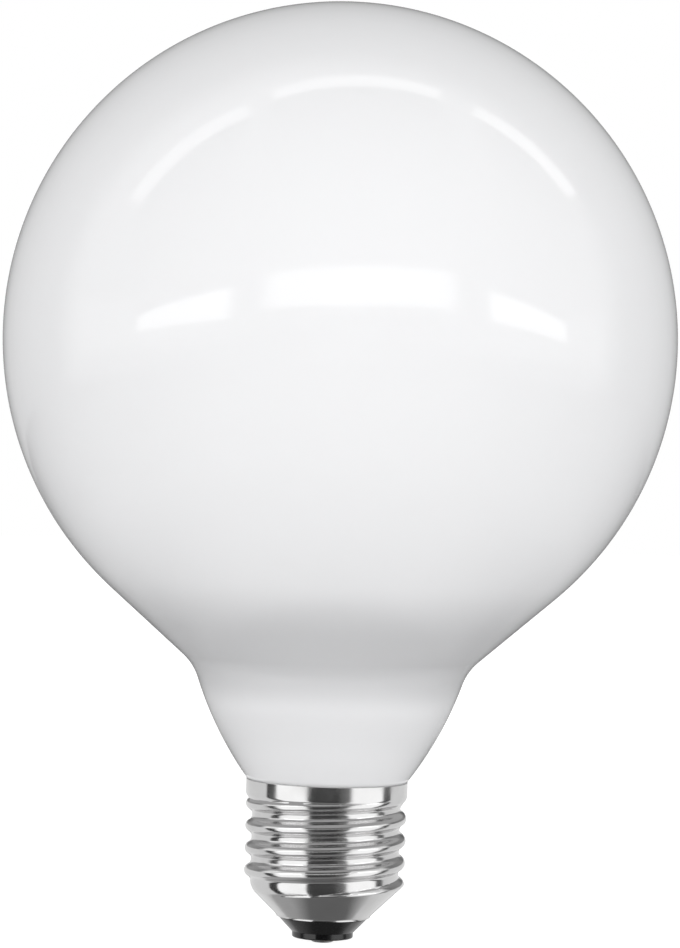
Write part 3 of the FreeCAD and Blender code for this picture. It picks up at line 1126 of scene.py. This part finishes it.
    def sheet(
        self,
        name: str,
        points: np.ndarray,
        glow: np.ndarray | float,
        seen: Seen,
        back: Back = Back.SAME,
    ) -> None:
        """Stage surface through a grid of points, with a glow at each point.

        Args:
            name: name of the object.
            points: array of rows, columns and coordinates, in millimetres.
            glow: what each point gives off.
            seen: which rays meet it.
            back: what its back is.
        """
        rows, columns, _ = points.shape
        obj = mesh_object(name, points.reshape(-1, 3), [grid_faces(rows, columns, False, False)])
        levels = np.broadcast_to(glow, (rows, columns)).astype(np.float32).ravel()
        obj.data.attributes.new("glow", "FLOAT", "POINT").data.foreach_set("value", levels)
        obj.data.materials.append(self.glow(name, back))
        self.show(obj, seen)
        LOG.info("stage %s: glow %.2f to %.2f", name, levels.min(), levels.max())

    def between(
        self,
        first: np.ndarray,
        second: np.ndarray,
        across: np.ndarray,
        along: np.ndarray,
    ) -> np.ndarray:
        """Grid on the straight-ruled surface between two edges.

        Each edge is its first point carried along to its last, and the surface is the first edge
        carried across to the second.

        Args:
            first: two points.
            second: two points.
            across: shares of the way from the first edge to the second.
            along: shares of the way along the edges.

        Returns:
            Grid of points.
        """
        low = first[0] + along[:, None] * (first[1] - first[0])
        high = second[0] + along[:, None] * (second[1] - second[0])
        return low[None] + across[:, None, None] * (high - low)[None]

    def key_bank(self) -> None:
        """Three soft boxes side by side that lean over the bulb, each brightest at its front edge.

        The bright front fades at its edges, as the light of a soft box does, and the face behind
        it weakens on its way up.
        """
        middle = np.array((0.0, 0.0, self.globe_height))
        share = np.linspace(0.0, 1.0, self.bank_grid)
        fade = smooth(np.clip(np.minimum(share, 1.0 - share) / self.bank_front_fade, 0.0, 1.0))
        swell = np.outer(fade, fade)
        weaker = np.interp(share, RISE, (self.bank_strength, self.bank_high_strength))[:, None]
        for box in KEY_BANK:
            front = middle + self.bank_distance * np.array(box.front)
            rise = np.column_stack((np.zeros(2), np.zeros(2), box.front_rise)) * self.bank_distance
            rear = middle + self.bank_distance * np.array(box.rear)
            depth = np.column_stack((np.zeros(2), box.rear_depth, np.zeros(2))) * self.bank_distance
            bright = self.bank_strength + (box.front_strength - self.bank_strength) * swell
            for part, low, high, glow, seen in (
                ("front", front, front + rise, bright, Seen.LAMP),
                ("face", front + rise, rear, weaker, Seen.LAMP),
                ("rear", rear, rear + depth, self.bank_rear_strength, Seen.CARD),
            ):
                self.sheet(f"soft_box_{box.name}_{part}", self.between(low, high, share, share), glow, seen)

    def drum(self, azimuth: np.ndarray, height: np.ndarray, radius: float) -> np.ndarray:
        """Upright drum about the axis: each azimuth at one radius, at each height.

        Args:
            azimuth: azimuths in degrees, positive to the camera's right.
            height: heights above the tip.
            radius: distance from the axis.

        Returns:
            Grid of points.
        """
        turn, level = np.meshgrid(np.radians(azimuth), height)
        return np.stack((radius * np.sin(turn), -radius * np.cos(turn), level), axis=-1)

    def disc(self, azimuth: np.ndarray, radius: np.ndarray, height: float) -> np.ndarray:
        """Level ring about the axis: each azimuth at each radius, at one height.

        Its face looks up where the azimuths fall and the radii grow, and down where both grow.

        Args:
            azimuth: azimuths in degrees, positive to the camera's right.
            radius: distances from the axis.
            height: height above the tip.

        Returns:
            Grid of points.
        """
        turn, reach = np.meshgrid(np.radians(azimuth), radius)
        return np.stack((reach * np.sin(turn), -reach * np.cos(turn), np.full_like(turn, height)), axis=-1)

    def fill(self) -> None:
        """Wide low panel round the front, behind the camera, and a tall weaker one round the back."""
        azimuth = np.linspace(self.FILL_GLOW[0][0], self.FILL_GLOW[-1][0], self.fill_columns)
        glow = read(self.FILL_GLOW, azimuth)
        points = self.drum(azimuth, np.array((self.fill_low, self.fill_high)), self.fill_distance)
        self.sheet("front_fill", points, glow, Seen.LAMP)
        round_back = np.linspace(*self.BACK_FILL, self.back_fill_columns)
        heights = np.array((self.fill_low, self.back_fill_high))
        points = self.drum(round_back, heights, self.back_fill_distance)
        self.sheet("back_fill", points, self.back_fill_strength, Seen.LAMP)

    def cap_cards(self) -> None:
        """Cards round the screw cap for its columns of light and dark, and for its flanks and foot."""
        last, first = self.CAP_GLOW[0][0], self.CAP_GLOW[-1][0]
        azimuth = np.arange(first, last - self.card_step, -self.card_step)
        glow = read(self.CAP_GLOW, azimuth)
        points = self.drum(azimuth, np.array((self.card_low, self.card_high)), self.card_radius)
        self.sheet("cap_cards", points, glow, Seen.CARD, Back.DARK)
        skirt = self.drum(azimuth, np.array((self.skirt_low, self.card_low)), self.card_radius)
        self.sheet("cap_skirt", skirt, read(self.SKIRT_GLOW, azimuth), Seen.CARD, Back.DARK)
        aside, level = np.array(self.UNDER_GLOW).T
        across, depth = np.meshgrid(aside, self.UNDER_CARD)
        under = np.stack((across, depth, np.full_like(across, self.under_height)), axis=-1)
        self.sheet("card_under", under, level, Seen.CARD)
        round_cap = np.linspace(-180.0, 180.0, self.ring_columns)
        ring = self.disc(round_cap, np.array(self.COLLAR_CARD), self.collar_height)
        self.sheet("collar_card", ring, self.collar_glow, Seen.CARD, Back.CLEAR)
        in_front = np.linspace(*self.BROW_SIDES, self.brow_columns)
        brow = self.disc(in_front, np.array(self.BROW_CARD), self.collar_height)
        self.sheet("brow_card", brow, self.brow_glow, Seen.CARD, Back.CLEAR)

    def table_card(self) -> None:
        """Bright table that shows in the underside of the globe, darker behind and under the throat."""
        azimuth = np.linspace(180.0, -180.0, self.ring_columns)
        radius = np.geomspace(self.TABLE_GLOW[0][0], self.TABLE_GLOW[-1][0], self.table_rows)
        glow = read(self.TABLE_GLOW, radius)[:, None]
        near = read(self.TABLE_NEAR, azimuth)
        far = read(self.TABLE_FAR, azimuth)
        change = np.interp(radius, self.TABLE_CHANGE, RISE)[:, None]
        self.sheet(
            "table_card",
            self.disc(azimuth, radius, self.table_height),
            glow * (near + (far - near) * change),
            Seen.CARD,
            Back.CLEAR,
        )

    def outline_shade(self) -> None:
        """Bowl far behind that draws the soft dark edge of the glass, a little lighter on the left."""
        off = np.linspace(self.SHADE_GLOW[0][0], self.SHADE_GLOW[-1][0], self.shade_rows)
        glow = read(self.SHADE_GLOW, off)
        circle = np.linspace(0.0, 2 * np.pi, self.ring_columns)
        angle, turn = np.meshgrid(np.radians(off), circle, indexing="ij")
        side = self.shade_distance * np.sin(angle)
        points = np.stack(
            (
                side * np.cos(turn),
                self.shade_distance * np.cos(angle),
                self.globe_height + side * np.sin(turn),
            ),
            axis=-1,
        )
        more = self.shade_left * np.minimum(np.cos(turn), 0.0) ** 2
        level = np.minimum(glow[:, None] * (1.0 + more), 1.0)
        self.sheet("outline_shade", points, level, Seen.CARD)

    def floor(self) -> None:
        """White floor under the tip that keeps a faint shadow."""
        half = self.floor_half
        corners = np.array(((-half, -half, 0.0), (half, -half, 0.0), (-half, half, 0.0), (half, half, 0.0)))
        obj = mesh_object("floor", corners, [grid_faces(2, 2, False, False)])
        material = bpy.data.materials.new("floor_paper")
        tree = StageTree(material)
        paper = tree.add("ShaderNodeBsdfDiffuse", Color=grey(self.floor_paper))
        fill = tree.add("ShaderNodeEmission", Strength=self.floor_fill)
        lit = tree.add("ShaderNodeAddShader")
        shade = tree.add("ShaderNodeBsdfDiffuse", Color=grey(self.floor_shade))
        white = tree.add("ShaderNodeEmission", Strength=self.floor_white)
        both = tree.add("ShaderNodeAddShader")
        path = tree.add("ShaderNodeLightPath")
        pick = tree.add("ShaderNodeMixShader")
        out = tree.add("ShaderNodeOutputMaterial")
        tree.join(
            (paper.outputs["BSDF"], lit.inputs[0]),
            (fill.outputs["Emission"], lit.inputs[1]),
            (shade.outputs["BSDF"], both.inputs[0]),
            (white.outputs["Emission"], both.inputs[1]),
            (path.outputs["Is Camera Ray"], pick.inputs["Fac"]),
            (lit.outputs["Shader"], pick.inputs[1]),
            (both.outputs["Shader"], pick.inputs[2]),
            (pick.outputs["Shader"], out.inputs["Surface"]),
        )
        obj.data.materials.append(material)
        self.show(obj, Seen.FLOOR)

    def world(self) -> None:
        """White to the camera, the gloss and clear things, and a low even fill to the rest."""
        world = bpy.data.worlds.new("studio")
        bpy.context.scene.world = world
        tree = StageTree(world)
        path = tree.add("ShaderNodeLightPath")
        either = tree.add("ShaderNodeMath")
        either.operation = "MAXIMUM"
        any_of = tree.add("ShaderNodeMath")
        any_of.operation = "MAXIMUM"
        low = tree.add("ShaderNodeBackground", Color=grey(1.0), Strength=self.world_fill)
        white = tree.add("ShaderNodeBackground", Color=grey(1.0))
        pick = tree.add("ShaderNodeMixShader")
        out = tree.add("ShaderNodeOutputWorld")
        tree.join(
            (path.outputs["Is Camera Ray"], either.inputs[0]),
            (path.outputs["Is Glossy Ray"], either.inputs[1]),
            (either.outputs["Value"], any_of.inputs[0]),
            (path.outputs["Is Transmission Ray"], any_of.inputs[1]),
            (any_of.outputs["Value"], pick.inputs["Fac"]),
            (low.outputs["Background"], pick.inputs[1]),
            (white.outputs["Background"], pick.inputs[2]),
            (pick.outputs["Shader"], out.inputs["Surface"]),
        )

    def camera(self) -> None:
        """Level camera in front, rolled a little as the photograph is."""
        data = bpy.data.cameras.new("camera")
        data.sensor_fit = "VERTICAL"
        data.sensor_height = self.sensor
        data.sensor_width = self.sensor * PHOTO_WIDTH / PHOTO_HEIGHT
        data.lens = self.focal_pixels * self.sensor / PHOTO_HEIGHT
        data.clip_start = self.camera_near * MM
        camera = bpy.data.objects.new("camera", data)
        roll = math.radians(self.camera_roll)
        height = self.globe_height + self.camera_rise
        place = (self.camera_side * MM, -self.camera_distance * MM, height * MM)
        camera.matrix_world = Matrix(
            (
                (math.cos(roll), -math.sin(roll), 0.0, place[0]),
                (0.0, 0.0, -1.0, place[1]),
                (math.sin(roll), math.cos(roll), 0.0, place[2]),
                (0.0, 0.0, 0.0, 1.0),
            )
        )
        bpy.context.scene.collection.objects.link(camera)
        bpy.context.scene.camera = camera

    def build(self) -> None:
        """Set up the whole studio."""
        bpy.context.scene.view_settings.view_transform = "Standard"
        self.floor()
        self.world()
        self.key_bank()
        self.fill()
        self.cap_cards()
        self.table_card()
        self.outline_shade()
        self.camera()


def main() -> None:
    """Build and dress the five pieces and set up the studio."""
    logging.basicConfig(level=logging.INFO, format="%(name)s: %(message)s")
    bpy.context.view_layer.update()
    for piece in (
        Globe(OpalGlass()),
        ScrewShell(NickelPlate()),
        Insulator(BlackGlass()),
        CentreContact(TinnedBrass()),
        ContactSolder(SoftSolder()),
    ):
        piece.dress()
    Studio().build()


if __name__ == "__main__":
    main()
